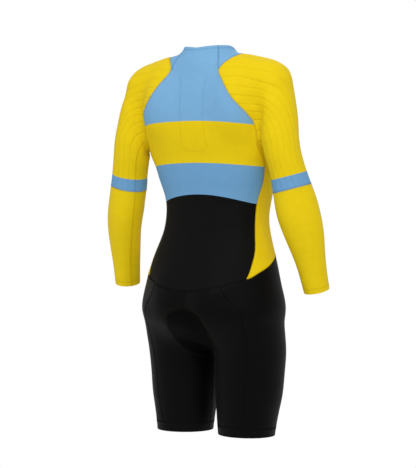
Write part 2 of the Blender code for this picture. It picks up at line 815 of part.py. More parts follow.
def build_sleeves(s):
    """Ribbed upper sleeves down to the elbow seam, and plain forearms below."""
    top = chain(s.raglan_back[::-1], s.raglan_front, s.underarm[::-1])
    angles = sleeve_angles()
    biceps = limb_ring(ARM, BICEPS_Z, angles)
    bend = np.stack([bent_line(a, b, SLEEVE_BEND_ROWS) for a, b in zip(top, biceps)], axis=1)
    heights = np.linspace(BICEPS_Z, ELBOW_Z, SLEEVE_ARM_ROWS + 1)[1:]
    upper = np.concatenate([bend, [limb_ring(ARM, z, angles) for z in heights]])
    rib_count = BACK_RIBS + FRONT_RIBS
    grooves = list(range(1, rib_count + 1))
    grooves += range(rib_count + 2, rib_count + SIDE_COLUMNS, 2)
    both_sides("sleeve_upper", upper, YELLOW, grooves)
    heights = np.linspace(ELBOW_Z, CUFF_Z, FOREARM_ROWS + 1)
    lower = np.array([limb_ring(ARM, z, angles) for z in heights])
    both_sides("sleeve_lower", lower, YELLOW)


# Zip


def build_zip(s):
    """Closed zip in the middle of the front, from the neckline to the waist seam."""
    edge = s.zip_edge
    middle = edge * np.array([0, 1, 1])
    middle[:-1] = settle(middle[:-1], FRONT_ONLY)
    middle[-1] = s.waist[-1]
    panel("zip", np.stack([mirrored(edge), middle, edge], axis=1), BLACK)
    return middle


def slider_frame(middle):
    """Place of the slider on the zip's top run: +X across, +Z up the zip, -Y out."""
    top, below = middle[0], middle[1]
    rise = unit(top - below)
    out = np.array([0, -rise[2], rise[1]])
    seat = top + unit(below - top) * SLIDER_BELOW_RIM
    frame = Matrix.Identity(4)
    for row in range(3):
        frame[row][0] = (1, 0, 0)[row]
        frame[row][1] = -out[row]
        frame[row][2] = rise[row]
        frame[row][3] = seat[row] * MM
    return frame


def build_slider(frame):
    """Slider: a tapered plate on the zip with an arch that holds the pull tab."""
    width, length, thick = SLIDER_PLATE
    bm = bmesh.new()
    bmesh.ops.create_cube(bm, size=1.0)
    for vert in bm.verts:
        taper = 1.0 if vert.co.z > 0 else SLIDER_TAPER
        vert.co.x *= width * taper
        vert.co.y = -SEAM_GAP - thick * (0.5 - vert.co.y)
        vert.co.z *= length
    bmesh.ops.bevel(
        bm, geom=bm.edges[:], offset=SLIDER_BEVEL, offset_type="OFFSET", segments=2, profile=0.5,
        affect="EDGES", material=-1,
    )
    bmesh.ops.scale(bm, vec=(MM, MM, MM), verts=bm.verts[:])
    material = cloth("zip_slider", METAL, roughness=0.35, metallic=0.9)
    slider = add_object("zip_slider", bm, material)
    slider.matrix_world = frame
    arch = build_arch(material)
    arch.matrix_world = frame
    arch.hide_render = True
    arch.display_type = "WIRE"
    union = slider.modifiers.new("arch", "BOOLEAN")
    union.operation = "UNION"
    union.object = arch


def build_arch(material):
    """The arch on the slider's plate, as a guide solid that is joined to it."""
    base = SEAM_GAP + SLIDER_PLATE[2]
    foot = base - ARCH_SINK
    outer, inner = ARCH_SPAN / 2, ARCH_SPAN / 2 - ARCH_BAR
    crown, soffit = base + ARCH_OPENING + ARCH_BAR, base + ARCH_OPENING
    outline = [
        (-outer, foot), (-outer, crown - ARCH_CHAMFER), (-outer + ARCH_CHAMFER, crown),
        (outer - ARCH_CHAMFER, crown), (outer, crown - ARCH_CHAMFER), (outer, foot),
        (inner, foot), (inner, soffit), (-inner, soffit), (-inner, foot),
    ]
    bm = bmesh.new()
    verts = [bm.verts.new((-ARCH_WIDTH / 2 * MM, -out * MM, up * MM)) for up, out in outline]
    profile = bm.faces.new(verts)
    grown = bmesh.ops.extrude_face_region(bm, geom=[profile])["geom"]
    moved = [item for item in grown if isinstance(item, bmesh.types.BMVert)]
    bmesh.ops.translate(bm, verts=moved, vec=(ARCH_WIDTH * MM, 0, 0))
    return add_object("slider_arch", bm, material)


def build_pull(frame):
    """Pull tab: a flat tab whose top bar lies under the slider's arch and turns in it."""
    hinge_out = SEAM_GAP + SLIDER_PLATE[2] + ARCH_OPENING / 2
    half = PULL_WIDTH / 2
    across = [-half, -half + PULL_SIDE_BAR, half - PULL_SIDE_BAR, half]
    down = [PULL_BAR / 2, -PULL_BAR / 2, -PULL_BAR / 2 - PULL_WINDOW, -PULL_LENGTH]
    bm = bmesh.new()
    bmesh.ops.create_grid(bm, x_segments=3, y_segments=3, size=1.0)
    for k, vert in enumerate(bm.verts):
        vert.co = Vector((across[k % 4], -PULL_THICKNESS / 2, down[k // 4])) * MM
    bmesh.ops.delete(bm, geom=[window_face(bm, down)], context="FACES")
    grown = bmesh.ops.extrude_face_region(bm, geom=bm.faces[:])["geom"]
    moved = [item for item in grown if isinstance(item, bmesh.types.BMVert)]
    bmesh.ops.translate(bm, verts=moved, vec=(0, PULL_THICKNESS * MM, 0))
    pull = add_object("zip_pull", bm, cloth("zip_pull", METAL, roughness=0.4, metallic=0.6))
    pull.matrix_world = frame @ Matrix.Translation((0, -hinge_out * MM, 0))


def window_face(bm, down):
    """The middle cell of the pull tab's grid."""
    middle = Vector((0, -PULL_THICKNESS / 2, (down[1] + down[2]) / 2)) * MM
    return min(bm.faces, key=lambda face: (face.calc_center_median() - middle).length)


clear_scene()
seams = seam_network()
build_back(seams)
build_fronts(seams)
build_sides(seams)
build_sleeves(seams)
build_shorts(seams)
saddle = saddle_grid(seams)
panel("saddle_panel", saddle, BLACK, split=True)
build_pad(saddle)
build_bands(seams)
zip_middle = build_zip(seams)
place = slider_frame(zip_middle)
build_slider(place)
build_pull(place)
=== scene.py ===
"""Looks of the long-sleeved cycling skinsuit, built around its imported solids.

The front faces -Y, the wearer's left is +X and +Z is up. All sizes are in metres.
"""
import math

import bmesh
import bpy
import numpy as np
from mathutils import Matrix, Vector
from mathutils.bvhtree import BVHTree
from mathutils.kdtree import KDTree


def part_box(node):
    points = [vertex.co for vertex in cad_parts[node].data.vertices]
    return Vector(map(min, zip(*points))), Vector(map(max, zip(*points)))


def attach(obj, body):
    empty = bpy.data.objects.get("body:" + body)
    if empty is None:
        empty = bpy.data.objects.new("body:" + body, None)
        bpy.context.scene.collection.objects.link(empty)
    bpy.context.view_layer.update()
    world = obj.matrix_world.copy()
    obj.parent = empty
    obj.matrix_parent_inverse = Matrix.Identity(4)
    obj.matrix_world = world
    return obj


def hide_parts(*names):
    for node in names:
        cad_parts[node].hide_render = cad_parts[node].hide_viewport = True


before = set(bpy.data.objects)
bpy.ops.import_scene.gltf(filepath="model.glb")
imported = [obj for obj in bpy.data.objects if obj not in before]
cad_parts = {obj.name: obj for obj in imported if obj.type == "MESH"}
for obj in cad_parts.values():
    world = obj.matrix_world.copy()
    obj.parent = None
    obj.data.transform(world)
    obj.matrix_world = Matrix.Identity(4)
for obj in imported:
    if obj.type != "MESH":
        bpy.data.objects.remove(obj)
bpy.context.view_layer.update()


# Cloth of the whole suit
# The panels are two-way stretch knit, cut so that the sewn suit takes one smooth body form.
# The form is taken from the panels' solids, joined at their seams and rounded, and each
# panel is cut from it below along its own seam lines.

CLOTH_PANELS = [
    "back_panel", "front_left", "front_right", "side_panel_left", "side_panel_right",
    "sleeve_upper_left", "sleeve_upper_right", "sleeve_lower_left", "sleeve_lower_right",
    "short_back_left", "short_back_right", "short_side_left", "short_side_right",
    "short_front_left", "short_front_right", "saddle_panel", "leg_band_left",
    "leg_band_right", "zip",
]
WELD = 0.00001
WALL, WALL_SPREAD = 0.0015, 0.00004
GROOVE_WALL, GROOVE_SPREAD = 0.00095, 0.00001
SEAM_REACH = 0.0008
GAP_REACH = 0.0026
END_SHARE = 0.02
WIDEST_FOLD = math.radians(80)
GRID_LIKING = 1.5
FOLD, FINE_FOLD = math.radians(60), math.radians(40)
EASE_ROUNDS = 60
ZIP_REACH = 0.02
FORM_LEVELS = 2
FITTING_ROUNDS = 4
ARM_X, ARM_Y, ARM_RADIUS = 0.190, 0.045, 0.085
ARM_SPREAD, ARM_BEND = 0.16, 0.13
SHOULDER_Z, ARMPIT_Z, WAIST_Z, CUFF_Z, LEG_Z = -0.12, -0.22, -0.42, -0.60, -0.70
CHEST_SIDE, HIP_SIDE = 0.172, 0.178
TRUNK_Y, NECK_Z, LEG_X = 0.015, -0.04, 0.088


def limb_middle(point):
    """The middle of the trunk, arm or leg that a point lies on."""
    side = 1 if point.x > 0 else -1
    if point.z > CUFF_Z:
        out = ARM_X - ARM_SPREAD * (point.z - SHOULDER_Z)
        back = ARM_Y + ARM_BEND * min(point.z - ARMPIT_Z, 0)
        arm = Vector((side * out, back, point.z))
        trunk_side = HIP_SIDE if point.z < WAIST_Z else CHEST_SIDE
        if abs(point.x) > trunk_side and (point - arm).length < ARM_RADIUS:
            return arm
    if point.z < LEG_Z:
        return Vector((side * LEG_X, 0, point.z))
    return Vector((0, TRUNK_Y, min(point.z, NECK_Z)))


def goes_through(edge):
    """Whether an edge crosses the cloth from one side to the other."""
    length = edge.calc_length()
    return abs(length - WALL) < WALL_SPREAD or abs(length - GROOVE_WALL) < GROOVE_SPREAD


def facing_out(face):
    """How far a face looks away from the middle of its limb, by area."""
    middle = face.calc_center_median()
    return face.calc_area() * face.normal.dot((middle - limb_middle(middle)).normalized())


def outer_side(node):
    """The outer side of a panel's solid as a bmesh, without its closing rims or grooves."""
    bm = bmesh.new()
    bm.from_mesh(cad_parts[node].data)
    bmesh.ops.remove_doubles(bm, verts=bm.verts[:], dist=WELD)
    rims = {face for edge in bm.edges if goes_through(edge) for face in edge.link_faces}
    unseen = set(bm.faces) - rims
    sides = []
    while unseen:
        side, front = set(), {unseen.pop()}
        while front:
            side |= front
            front = {
                other for face in front for edge in face.edges for other in edge.link_faces
                if other in unseen
            }
            unseen -= front
        sides.append(side)
    sides.sort(key=lambda side: sum(facing_out(face) for face in side))
    keep = sides[-1]
    if node.startswith("sleeve_upper"):
        keep = sides[0]
        press_out(bm, keep, sides[-1])
    spare = [face for face in bm.faces if face not in keep]
    bmesh.ops.delete(bm, geom=spare, context="FACES")
    if node.startswith("sleeve_upper"):
        bmesh.ops.reverse_faces(bm, faces=bm.faces[:])
    return bm


def press_out(bm, plain, ribbed):
    """Move a ribbed sleeve's plain side out to its outer face, marking each groove's course."""
    inner = {vert for face in plain for vert in face.verts}
    outer = list({vert for face in ribbed for vert in face.verts} - inner)
    tree = KDTree(len(outer))
    for number, vert in enumerate(outer):
        tree.insert(vert.co, number)
    tree.balance()
    mate, way = {}, {}
    for vert in inner:
        place, number, reach = tree.find(vert.co)
        way[vert] = (place - vert.co).normalized()
        if reach < (WALL + GROOVE_WALL) / 2:
            mate[vert] = outer[number]
    joined = {frozenset(edge.verts) for face in ribbed for edge in face.edges}
    for edge in {edge for face in plain for edge in face.edges}:
        start, end = (mate.get(vert) for vert in edge.verts)
        edge.seam = frozenset((start, end)) in joined
    for vert, direction in way.items():
        vert.co += direction * WALL


def sewn_form():
    """All the panels' outer sides sewn into one skin, each face marked with its panel."""
    skin = bmesh.new()
    mark = skin.faces.layers.int.new("panel")
    for number, node in enumerate(CLOTH_PANELS):
        side = outer_side(node)
        bmesh.ops.join_triangles(
            side, faces=side.faces[:], angle_face_threshold=WIDEST_FOLD,
            angle_shape_threshold=WIDEST_FOLD, topology_influence=GRID_LIKING,
        )
        for edge in side.edges:
            edge.smooth = not edge.is_boundary
        mesh = bpy.data.meshes.new("side")
        side.to_mesh(mesh)
        side.free()
        known = len(skin.faces)
        skin.from_mesh(mesh)
        skin.faces.ensure_lookup_table()
        for face in skin.faces[known:]:
            face[mark] = number
        bpy.data.meshes.remove(mesh)
    bmesh.ops.remove_doubles(skin, verts=skin.verts[:], dist=SEAM_REACH)
    close_gaps(skin)
    part_pinches(skin)
    ease_folds(skin, FOLD, 1)
    return skin


def close_gaps(skin):
    """Drop slivers left of the rims, and join what stays open where panels' corners meet."""
    slivers = [
        face for face in skin.faces
        if any(edge.is_boundary for edge in face.edges)
        and any(len(edge.link_faces) > 2 for edge in face.edges)
    ]
    bmesh.ops.delete(skin, geom=slivers, context="FACES")
    rim = [vert for vert in skin.verts if vert.is_boundary]
    bmesh.ops.remove_doubles(skin, verts=rim, dist=GAP_REACH)
    rim = [vert for vert in skin.verts if vert.is_boundary]
    for vert in rim:
        for edge in [edge for edge in skin.edges if edge.is_boundary]:
            start, end = edge.verts
            if vert in (start, end):
                continue
            run = end.co - start.co
            share = (vert.co - start.co).dot(run) / run.length_squared
            beyond_ends = END_SHARE < share < 1 - END_SHARE
            if beyond_ends and (start.co + run * share - vert.co).length < SEAM_REACH:
                _, new = bmesh.utils.edge_split(edge, start, share)
                new.co = vert.co
    rim = [vert for vert in skin.verts if vert.is_boundary]
    bmesh.ops.remove_doubles(skin, verts=rim, dist=SEAM_REACH)


def fans_of(vert, mark):
    """The faces at a point, as groups that hang together, the one on a seam first."""
    left, fans = set(vert.link_faces), []
    while left:
        fan, front = set(), {left.pop()}
        while front:
            fan |= front
            front = {
                other for face in front for edge in face.edges if vert in edge.verts
                for other in edge.link_faces if other in left
            }
            left -= front
        fans.append(fan)
    return sorted(fans, key=lambda fan: -len({face[mark] for face in fan}))


def part_pinches(skin):
    """Part the cloth again where two places that only lie close were joined at one point."""
    mark = skin.faces.layers.int["panel"]
    for vert in list(skin.verts):
        for fan in fans_of(vert, mark)[1:]:
            freed = skin.verts.new(vert.co)
            for face in fan:
                corners = [freed if corner is vert else corner for corner in face.verts]
                skin.faces.new(corners, face)
            bmesh.ops.delete(skin, geom=list(fan), context="FACES_ONLY")
    loose = [edge for edge in skin.edges if not edge.link_faces]
    bmesh.ops.delete(skin, geom=loose, context="EDGES")


def ease_folds(skin, fold, rings):
    """Spread the cells that lie folded over at the armpits and raglan seams."""
    skin.normal_update()
    for _ in range(EASE_ROUNDS):
        folded = {
            vert for edge in skin.edges
            if edge.is_manifold and edge.calc_face_angle() > fold for vert in edge.verts
            if abs(vert.co.x) > ZIP_REACH
        }
        if not folded:
            break
        for _ in range(rings):
            folded |= {
                other for vert in folded for edge in vert.link_edges for other in edge.verts
            }
        near = [vert for vert in folded if not vert.is_boundary]
        bmesh.ops.smooth_vert(
            skin, verts=near, factor=0.5, use_axis_x=True, use_axis_y=True, use_axis_z=True
        )
        skin.normal_update()


def new_object(name, data):
    """An object of the scene, at the origin."""
    made = bpy.data.objects.new(name, data)
    bpy.context.scene.collection.objects.link(made)
    return made


def rounded(mesh, levels):
    """A mesh's subdivided copy."""
    holder = new_object("holder", mesh)
    surface = holder.modifiers.new("round", "SUBSURF")
    surface.levels = surface.render_levels = levels
    surface.boundary_smooth = "PRESERVE_CORNERS"
    graph = bpy.context.evaluated_depsgraph_get()
    result = bpy.data.meshes.new_from_object(holder.evaluated_get(graph))
    bpy.data.objects.remove(holder)
    return result


def points_of(mesh):
    """A mesh's points as an array."""
    points = np.zeros(len(mesh.vertices) * 3)
    mesh.vertices.foreach_get("co", points)
    return points.reshape(-1, 3)


# Creases that the worn suit takes at the seat, armpits, elbows and waist: start, end,
# half width and depth of each. No two are alike.
CREASES = [
    ((-0.136, 0.120, -0.668), (-0.052, 0.150, -0.652), 0.008, 0.0026),
    ((-0.128, 0.098, -0.690), (-0.070, 0.124, -0.676), 0.007, 0.0018),
    ((0.050, 0.150, -0.656), (0.130, 0.120, -0.676), 0.008, 0.0024),
    ((0.066, 0.122, -0.684), (0.118, 0.104, -0.700), 0.007, 0.0015),
    ((0.1776, 0.0911, -0.0960), (0.1530, 0.0800, -0.1500), 0.013, 0.0026),
    ((-0.1700, 0.0900, -0.1060), (-0.1545, 0.0760, -0.1640), 0.012, 0.0018),
    ((-0.156, 0.078, -0.215), (-0.118, 0.104, -0.262), 0.009, 0.0024),
    ((-0.150, 0.062, -0.240), (-0.134, 0.078, -0.300), 0.009, 0.0018),
    ((0.154, 0.078, -0.212), (0.122, 0.102, -0.252), 0.009, 0.0026),
    ((0.146, 0.066, -0.246), (0.132, 0.080, -0.292), 0.008, 0.0016),
    ((-0.150, -0.020, -0.220), (-0.118, -0.074, -0.262), 0.009, 0.0022),
    ((0.152, -0.018, -0.216), (0.112, -0.076, -0.254), 0.009, 0.0024),
    ((-0.214, 0.010, -0.292), (-0.180, 0.036, -0.304), 0.007, 0.0020),
    ((-0.220, 0.000, -0.318), (-0.192, 0.014, -0.330), 0.007, 0.0014),
    ((0.212, 0.012, -0.288), (0.182, 0.038, -0.300), 0.007, 0.0022),
    ((0.224, 0.002, -0.322), (0.196, 0.012, -0.336), 0.007, 0.0013),
    ((-0.100, -0.080, -0.560), (-0.034, -0.112, -0.588), 0.009, 0.0022),
    ((0.040, -0.112, -0.582), (0.108, -0.078, -0.556), 0.009, 0.0020),
    ((-0.070, -0.104, -0.426), (-0.020, -0.108, -0.434), 0.010, 0.0014),
    ((0.010, -0.108, -0.408), (0.078, -0.100, -0.398), 0.010, 0.0016),
    ((-0.012, 0.146, -0.662), (-0.002, 0.130, -0.684), 0.006, 0.0018),
    ((0.004, 0.140, -0.668), (0.018, 0.124, -0.688), 0.006, 0.0014),
]


CREASE_FADE, CREASE_SINK = 0.6, 1.35
LIP_HEIGHT, LIP_PLACE = 0.5, 1.9
CREASE_REACH = 4.5


def pressed_in(points, normals):
    """The points with each crease pressed in along its line and slightly raised beside it."""
    moved = points.copy()
    for start, end, half_width, depth in CREASES:
        start, run = np.array(start), np.array(end) - np.array(start)
        share = np.clip((points - start) @ run / (run @ run), 0, 1)
        away = np.linalg.norm(points - start - share[:, None] * run, axis=1) / half_width
        fade = np.sin(np.pi * np.clip(share, 0.04, 0.96)) ** CREASE_FADE
        lip = LIP_HEIGHT * np.exp(-((away - LIP_PLACE) ** 2))
        press = depth * fade * (CREASE_SINK * np.exp(-away ** 2) - lip)
        moved -= normals * (press * (away < CREASE_REACH))[:, None]
    return moved


skin = sewn_form()
control = bpy.data.meshes.new("skin")
skin.to_mesh(control)
skin.free()
aim = points_of(control)
held = aim.copy()
for _ in range(FITTING_ROUNDS):
    control.vertices.foreach_set("co", held.ravel())
    form = rounded(control, 1)
    held += aim - points_of(form)[:len(aim)]
    bpy.data.meshes.remove(form)
control.vertices.foreach_set("co", held.ravel())
form = rounded(control, FORM_LEVELS)
normals = np.zeros(len(form.vertices) * 3)
form.vertex_normals.foreach_get("vector", normals)
form.vertices.foreach_set("co", pressed_in(points_of(form), normals.reshape(-1, 3)).ravel())
whole = bmesh.new()
whole.from_mesh(form)
ease_folds(whole, FINE_FOLD, 3)
panel_mark = whole.faces.layers.int["panel"]
open_mark = whole.verts.layers.int.new("open")
for vert in whole.verts:
    vert[open_mark] = int(vert.is_boundary)
whole.normal_update()
whole.faces.ensure_lookup_table()
whole.edges.ensure_lookup_table()
surface = BVHTree.FromBMesh(whole)

BORDER = 0.0014
SEAM_PRESS = 0.0003
CLOTH = 0.0011
GROOVE_HALF = 0.0009
GROOVE_PRESS = 0.00022
RIB_JAG = 0.0012
CROWDED, SPREAD_ROUNDS = 0.0032, 8
STRAY = 0.0015
SLEEVE_REACH = 0.058


def spread_border(bm):
    """Move the points that crowd a panel's edge inwards along the form."""
    for _ in range(SPREAD_ROUNDS):
        crowded = [
            vert for vert in bm.verts
            if not vert.is_boundary and any(
                edge.other_vert(vert).is_boundary and edge.calc_length() < CROWDED
                for edge in vert.link_edges
            )
        ]
        bmesh.ops.smooth_vert(
            bm, verts=crowded, factor=0.5, use_axis_x=True, use_axis_y=True, use_axis_z=True
        )
        for vert in crowded:
            vert.co = surface.find_nearest(vert.co)[0]


def cut_panel(node):
    """One panel's cloth, cut from the form along its seams, with its seam edges turned in."""
    bm = whole.copy()
    mark = bm.faces.layers.int["panel"]
    opening = bm.verts.layers.int["open"]
    number = CLOTH_PANELS.index(node)
    spare = [face for face in bm.faces if face[mark] != number]
    bmesh.ops.delete(bm, geom=spare, context="FACES")
    bmesh.ops.split_edges(bm, edges=[e for e in bm.edges if not e.smooth and not e.is_boundary])
    spread_border(bm)
    groove = bm.verts.layers.float.new("groove")
    ribs = [edge for edge in bm.edges if edge.seam and not edge.is_boundary]
    if ribs:
        course = {vert for edge in ribs for vert in edge.verts if not vert.is_boundary}
        bmesh.ops.remove_doubles(bm, verts=list(course), dist=RIB_JAG)
        ribs = [edge for edge in bm.edges if edge.seam and not edge.is_boundary]
        made = bmesh.ops.bevel(
            bm, geom=ribs, offset=GROOVE_HALF, offset_type="OFFSET", affect="EDGES",
            segments=2, profile=0.5, material=-1, clamp_overlap=True,
        )
        floor = set(made["faces"])
        bm.normal_update()
        for vert in {vert for face in floor for vert in face.verts}:
            if all(face in floor for face in vert.link_faces):
                vert[groove] = 1
                vert.co -= vert.normal * GROOVE_PRESS
    bmesh.ops.inset_region(bm, faces=bm.faces[:], thickness=BORDER, depth=0, use_boundary=True)
    for vert in bm.verts:
        spot, _, _, away = surface.find_nearest(vert.co)
        if away > STRAY:
            vert.co = spot
    bm.normal_update()
    for vert in bm.verts:
        if vert.is_boundary and not vert[opening]:
            vert.co -= vert.normal * SEAM_PRESS
    return bm


def sleeve_turn(bm):
    """Lay a bent upper sleeve's cloth out round the line from the neck to the elbow."""
    layer = bm.loops.layers.uv["cloth"]
    side = 1 if next(iter(bm.verts)).co.x > 0 else -1
    neck, elbow = Vector((0, 0.03, -0.02)), Vector((side * 0.205, 0.02, -0.30))
    down = (elbow - neck).normalized()
    first = Vector((side, 0, 0)).cross(down).normalized()
    second = down.cross(first)
    for face in bm.faces:
        for loop in face.loops:
            arm = loop.vert.co - neck
            turn = math.atan2(arm.dot(first), arm.dot(second))
            loop[layer].uv = (turn * SLEEVE_REACH, -arm.dot(down))


def lay_flat(bm):
    """A UV map in metres: round the limb, and down it."""
    layer = bm.loops.layers.uv.new("cloth")
    middle = sum((face.calc_center_median() for face in bm.faces), Vector()) / len(bm.faces)
    core = limb_middle(middle)
    facing = math.atan2(middle.x - core.x, core.y - middle.y)
    for face in bm.faces:
        for loop in face.loops:
            arm = loop.vert.co - limb_middle(loop.vert.co)
            turn = math.atan2(arm.x, -arm.y) - facing
            turn = (turn + math.pi) % math.tau - math.pi
            around = turn * math.hypot(arm.x, arm.y)
            loop[layer].uv = (around, loop.vert.co.z)


def sew_in(node, material, lining):
    """Make a panel's cloth a piece of the suit in place of its solid."""
    bm = cut_panel(node)
    lay_flat(bm)
    if node.startswith("sleeve_upper"):
        sleeve_turn(bm)
    mesh = bpy.data.meshes.new(node + "_cloth")
    bm.to_mesh(mesh)
    bm.free()
    mesh.shade_smooth()
    mesh.materials.append(material)
    mesh.materials.append(lining)
    piece = new_object(node + "_cloth", mesh)
    wall = piece.modifiers.new("wall", "SOLIDIFY")
    wall.thickness, wall.offset = CLOTH, -1
    wall.material_offset, wall.material_offset_rim = 1, 0
    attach(piece, "suit")
    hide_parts(node)
    return piece


def value_of(tree, operation, first, second=None, third=None, clamp=False):
    """A Math node on sockets or numbers."""
    node = tree.nodes.new("ShaderNodeMath")
    node.operation, node.use_clamp = operation, clamp
    for socket, given in zip(node.inputs, (first, second, third)):
        if isinstance(given, (int, float)):
            socket.default_value = given
        elif given is not None:
            tree.links.new(given, socket)
    return node.outputs[0]


def colour_mix(tree, factor, first, second, blend="MIX"):
    """A colour Mix node on sockets or values."""
    node = tree.nodes.new("ShaderNodeMix")
    node.data_type, node.blend_type = "RGBA", blend
    for name, given in (("Factor", factor), ("A", first), ("B", second)):
        if isinstance(given, bpy.types.NodeSocket):
            tree.links.new(given, node.inputs[name])
        else:
            node.inputs[name].default_value = given
    return node.outputs["Result"]


def object_place(tree):
    """The place on the object, in metres."""
    return tree.nodes.new("ShaderNodeTexCoord").outputs["Object"]


def noise(tree, scale, place):
    """Noise at a place, from 0 to 1."""
    node = tree.nodes.new("ShaderNodeTexNoise")
    node.inputs["Scale"].default_value = scale
    tree.links.new(place, node.inputs["Vector"])
    return node.outputs[0]


def new_material(name):
    """A material, its node tree and its shader."""
    material = bpy.data.materials.new(name)
    material.use_nodes = True
    return material, material.node_tree, material.node_tree.nodes["Principled BSDF"]


def relief(tree, shader, height, strength, distance):
    """Raise the shader's surface by a height from 0 to 1."""
    node = tree.nodes.new("ShaderNodeBump")
    node.inputs["Strength"].default_value = strength
    node.inputs["Distance"].default_value = distance
    tree.links.new(height, node.inputs["Height"])
    tree.links.new(node.outputs[0], shader.inputs["Normal"])


VEE, LOOP_HEIGHT, TWILL_LEAN = 1.4, 1.3, 0.55
# The cloud varies the tone at random; the knit's hollows are darkened as painted shade.
CLOUD_SCALE, CLOUD_SHADE, KNIT_PAINTED_SHADE = 60, 0.10, 0.12


def knit_group():
    """Knitted cloth: rows of V-shaped loops, or a slanting twill face, by height and tone. The
    tone adds a random cloud to painted shade that darkens the hollows of the loops or the
    twill.
    """
    group = bpy.data.node_groups.new("knitted face", "ShaderNodeTree")
    for name, socket_type, given in (
        ("Cloth", "NodeSocketVector", None), ("Loop Width", "NodeSocketFloat", 0.0011),
        ("Slant", "NodeSocketFloat", 0.0),
    ):
        socket = group.interface.new_socket(name, in_out="INPUT", socket_type=socket_type)
        if given is not None:
            socket.default_value = given
    for name in ("Height", "Tone and Painted Shade"):
        group.interface.new_socket(name, in_out="OUTPUT", socket_type="NodeSocketFloat")
    start, end = group.nodes.new("NodeGroupInput"), group.nodes.new("NodeGroupOutput")
    split = group.nodes.new("ShaderNodeSeparateXYZ")
    group.links.new(start.outputs["Cloth"], split.inputs[0])
    across = value_of(group, "DIVIDE", split.outputs[0], start.outputs["Loop Width"])
    down = value_of(group, "DIVIDE", split.outputs[1], start.outputs["Loop Width"])
    off_middle = value_of(
        group, "ABSOLUTE", value_of(group, "SUBTRACT", value_of(group, "FRACT", across), 0.5)
    )
    rise = value_of(group, "MULTIPLY", down, LOOP_HEIGHT)
    chevron = value_of(group, "MULTIPLY_ADD", off_middle, VEE, rise)
    loops = value_of(group, "SINE", value_of(group, "MULTIPLY", chevron, math.tau))
    wale = value_of(group, "COSINE", value_of(group, "MULTIPLY", off_middle, math.tau))
    column = value_of(group, "MULTIPLY_ADD", wale, 0.25, 0.5)
    knit = value_of(group, "MULTIPLY_ADD", loops, 0.25, column)
    run = value_of(group, "MULTIPLY", down, TWILL_LEAN)
    lean = value_of(group, "MULTIPLY_ADD", across, TWILL_LEAN, run)
    twill = value_of(
        group, "MULTIPLY_ADD",
        value_of(group, "SINE", value_of(group, "MULTIPLY", lean, math.tau)), 0.5, 0.5,
    )
    mix = group.nodes.new("ShaderNodeMix")
    group.links.new(start.outputs["Slant"], mix.inputs["Factor"])
    group.links.new(knit, mix.inputs["A"])
    group.links.new(twill, mix.inputs["B"])
    cloud = noise(group, CLOUD_SCALE, start.outputs["Cloth"])
    cloud.node.inputs["Detail"].default_value = 3
    # Tone: a random cloud added to painted shade, darker where the loops or the twill sink.
    tone = value_of(
        group, "MULTIPLY_ADD", value_of(group, "SUBTRACT", cloud, 0.5), CLOUD_SHADE,
        value_of(group, "MULTIPLY_ADD", mix.outputs["Result"], KNIT_PAINTED_SHADE, 0.92),
    )
    group.links.new(mix.outputs["Result"], end.inputs["Height"])
    group.links.new(tone, end.inputs["Tone and Painted Shade"])
    return group


knitted_face = knit_group()
YELLOW = (0.790, 0.575, 0.004, 1)
BLUE = (0.185, 0.400, 0.640, 1)
BLACK = (0.0016, 0.0016, 0.0017, 1)
LINING_YELLOW = (0.80, 0.62, 0.06, 1)
LINING_BLUE = (0.27, 0.46, 0.66, 1)
LINING_BLACK = (0.020, 0.020, 0.022, 1)
# How much painted shade darkens the rib groove floors, and the height of the knit's loops.
GROOVE_PAINTED_SHADE, LOOP_RELIEF = 0.05, 0.0002


def cloth_material(name, colour, loop=0.0011, slant=0.0, roughness=0.68, sheen=0.015, bump=0.5,
                   gloss=0.09, zones=None, grooves=False):
    """A knitted cloth, plain or in printed zones, with its face and sheen. Its colour is
    darkened by the face's painted shade, and with grooves also by painted shade along the rib
    grooves.
    """
    material, tree, shader = new_material(name)
    shader.inputs["Roughness"].default_value = roughness
    shader.inputs["Sheen Weight"].default_value = sheen
    shader.inputs["Sheen Roughness"].default_value = 0.4
    shader.inputs["Specular IOR Level"].default_value = gloss
    cloth = tree.nodes.new("ShaderNodeUVMap")
    cloth.uv_map = "cloth"
    face = tree.nodes.new("ShaderNodeGroup")
    face.node_tree = knitted_face
    face.inputs["Loop Width"].default_value = loop
    face.inputs["Slant"].default_value = slant
    tree.links.new(cloth.outputs[0], face.inputs["Cloth"])
    # The knit's tone, painted shade in its hollows and a random cloud, multiplies the printed
    # colour.
    tone = face.outputs["Tone and Painted Shade"]
    # With grooves, painted shade darkens the colour along the groove floors.
    if grooves:
        course = tree.nodes.new("ShaderNodeAttribute")
        course.attribute_name = "groove"
        shade = value_of(tree, "MULTIPLY_ADD", course.outputs["Fac"], -GROOVE_PAINTED_SHADE, 1.0)
        tone = value_of(tree, "MULTIPLY", tone, shade)
    paint = colour_mix(tree, 1, zones(tree) if zones else colour, tone, "MULTIPLY")
    tree.links.new(paint, shader.inputs["Base Color"])
    relief(tree, shader, face.outputs["Height"], bump, LOOP_RELIEF)
    return material


yellow_lining = cloth_material("yellow cloth inside", LINING_YELLOW, loop=0.0009, roughness=0.8)
blue_lining = cloth_material("blue cloth inside", LINING_BLUE, loop=0.0009, roughness=0.8)
black_lining = cloth_material("black cloth inside", LINING_BLACK, loop=0.0009, roughness=0.8)


# Back panel
# One width of smooth knit from the neck to the seat seam. Its blue yoke, yellow chest band,
# blue waist band and black foot are printed on it, so that no seam parts them.

BACK_ZONES = ((-0.1445, 0.45), (-0.2420, 0.42), (-0.3160, 1.45))
LOWER_BLUE = (0.150, 0.345, 0.585, 1)
PRINT_SHARPNESS = 2200


